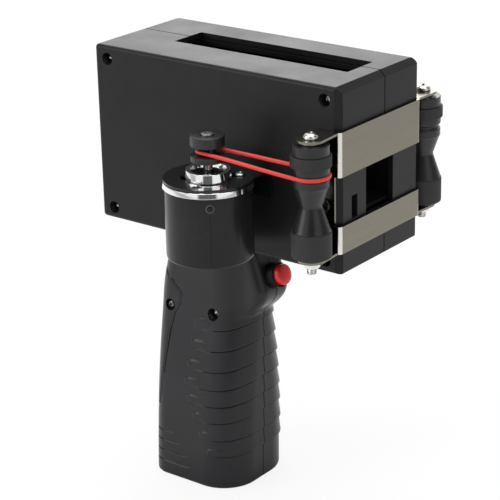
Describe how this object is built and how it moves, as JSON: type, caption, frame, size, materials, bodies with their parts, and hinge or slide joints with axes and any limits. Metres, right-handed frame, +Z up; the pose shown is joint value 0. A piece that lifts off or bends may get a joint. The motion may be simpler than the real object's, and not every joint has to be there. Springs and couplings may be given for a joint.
{
  "type": "handheld inkjet date coder",
  "caption": "Handheld inkjet date printer: boxy head with a cartridge slot and side rollers, belt-driven encoder, and a pistol grip with a red trigger button.",
  "frame": {"origin": "centre of the flat base of the grip, in the grip's middle plane", "axes": "+Z up the grip, +X towards the print face and the trigger button, -Y the flank with the encoder, +Y the flank with the touch screen"},
  "size_m": [0.1362, 0.1203, 0.205],
  "materials": {
    "case_plastic": "satin",
    "grip_plastic": "satin",
    "roller_plastic": "satin",
    "ring_rubber": "matte",
    "steel": "satin",
    "zinc": "polished",
    "black_metal": "satin",
    "bright_aluminium": "polished",
    "can_metal": "satin",
    "belt_rubber": "satin",
    "button_plastic": "gloss",
    "circuit_board": "satin",
    "display": "satin",
    "screen_glass": "polished",
    "disc_film": "gloss",
    "cell": "satin",
    "brass": "satin"
  },
  "bodies": {
    "printer": {"near_shell": "case_plastic", "screen_shell": "case_plastic", "touch_screen": "screen_glass", "display_module": "display", "main_board": "circuit_board", "power_board": "circuit_board", "contact_board": "circuit_board", "cartridge_pocket": "case_plastic", "print_sensor": "case_plastic", "case_screw_1": "zinc", "case_screw_2": "zinc", "case_screw_3": "zinc", "case_screw_4": "zinc", "power_ring": "zinc", "charge_socket": "roller_plastic", "usb_socket": "steel", "guide_bracket": "steel", "near_bracket_screw": "zinc", "far_bracket_screw": "zinc", "near_axle_bolt": "zinc", "near_axle_nut": "zinc", "near_washer": "zinc", "far_axle_bolt": "zinc", "far_axle_nut": "zinc", "far_washer": "zinc", "encoder_bracket": "black_metal", "encoder_flange": "bright_aluminium", "encoder_can": "can_metal", "encoder_bearing": "zinc", "encoder_board": "circuit_board", "encoder_screw_1": "zinc", "encoder_screw_2": "zinc", "encoder_screw_3": "zinc", "drive_belt": "belt_rubber", "near_grip": "grip_plastic", "far_grip": "grip_plastic", "back_strap": "grip_plastic", "grip_screw": "zinc", "near_strap_screw": "zinc", "far_strap_screw": "zinc", "grip_bolt_1": "zinc", "grip_bolt_2": "zinc", "trigger_collar": "roller_plastic", "trigger_switch": "case_plastic", "battery_cell_1": "cell", "battery_cell_2": "cell", "battery_hatch": "grip_plastic", "cell_contacts": "brass"},
    "near_roller": {"near_roller": "roller_plastic", "near_top_ring": "ring_rubber", "near_low_ring": "ring_rubber"},
    "far_roller": {"far_roller": "roller_plastic", "far_top_ring": "ring_rubber", "far_low_ring": "ring_rubber"},
    "encoder_rotor": {"encoder_shaft": "bright_aluminium", "code_disc": "disc_film", "drive_pulley": "roller_plastic", "pulley_screw": "zinc"},
    "trigger": {"trigger_button": "button_plastic"},
    "power": {"power_button": "roller_plastic"}
  },
  "joints": [
    {"name": "near_roller_spin", "type": "hinge", "parent": "printer", "child": "near_roller", "pos_m": [0.0831, -0.0415, 0.16], "axis": [0, 0, 1], "continuous": true},
    {"name": "far_roller_spin", "type": "hinge", "parent": "printer", "child": "far_roller", "pos_m": [0.0831, 0.0415, 0.16], "axis": [0, 0, 1], "continuous": true},
    {"name": "encoder_spin", "type": "hinge", "parent": "printer", "child": "encoder_rotor", "pos_m": [0.0378, -0.0508, 0.17], "axis": [0, 0, 1], "continuous": true},
    {"name": "trigger_press", "type": "slide", "parent": "printer", "child": "trigger", "axis": [-0.9511, 0, -0.309], "range_m": [0, 0.0015], "stiffness_N_per_m": 400},
    {"name": "power_button_press", "type": "slide", "parent": "printer", "child": "power", "axis": [1, 0, 0], "range_m": [0, 0.0012], "stiffness_N_per_m": 300}
  ],
  "couplings": [
    {"joint": "encoder_spin", "follows": "near_roller_spin", "ratio": 1.7386}
  ]
}
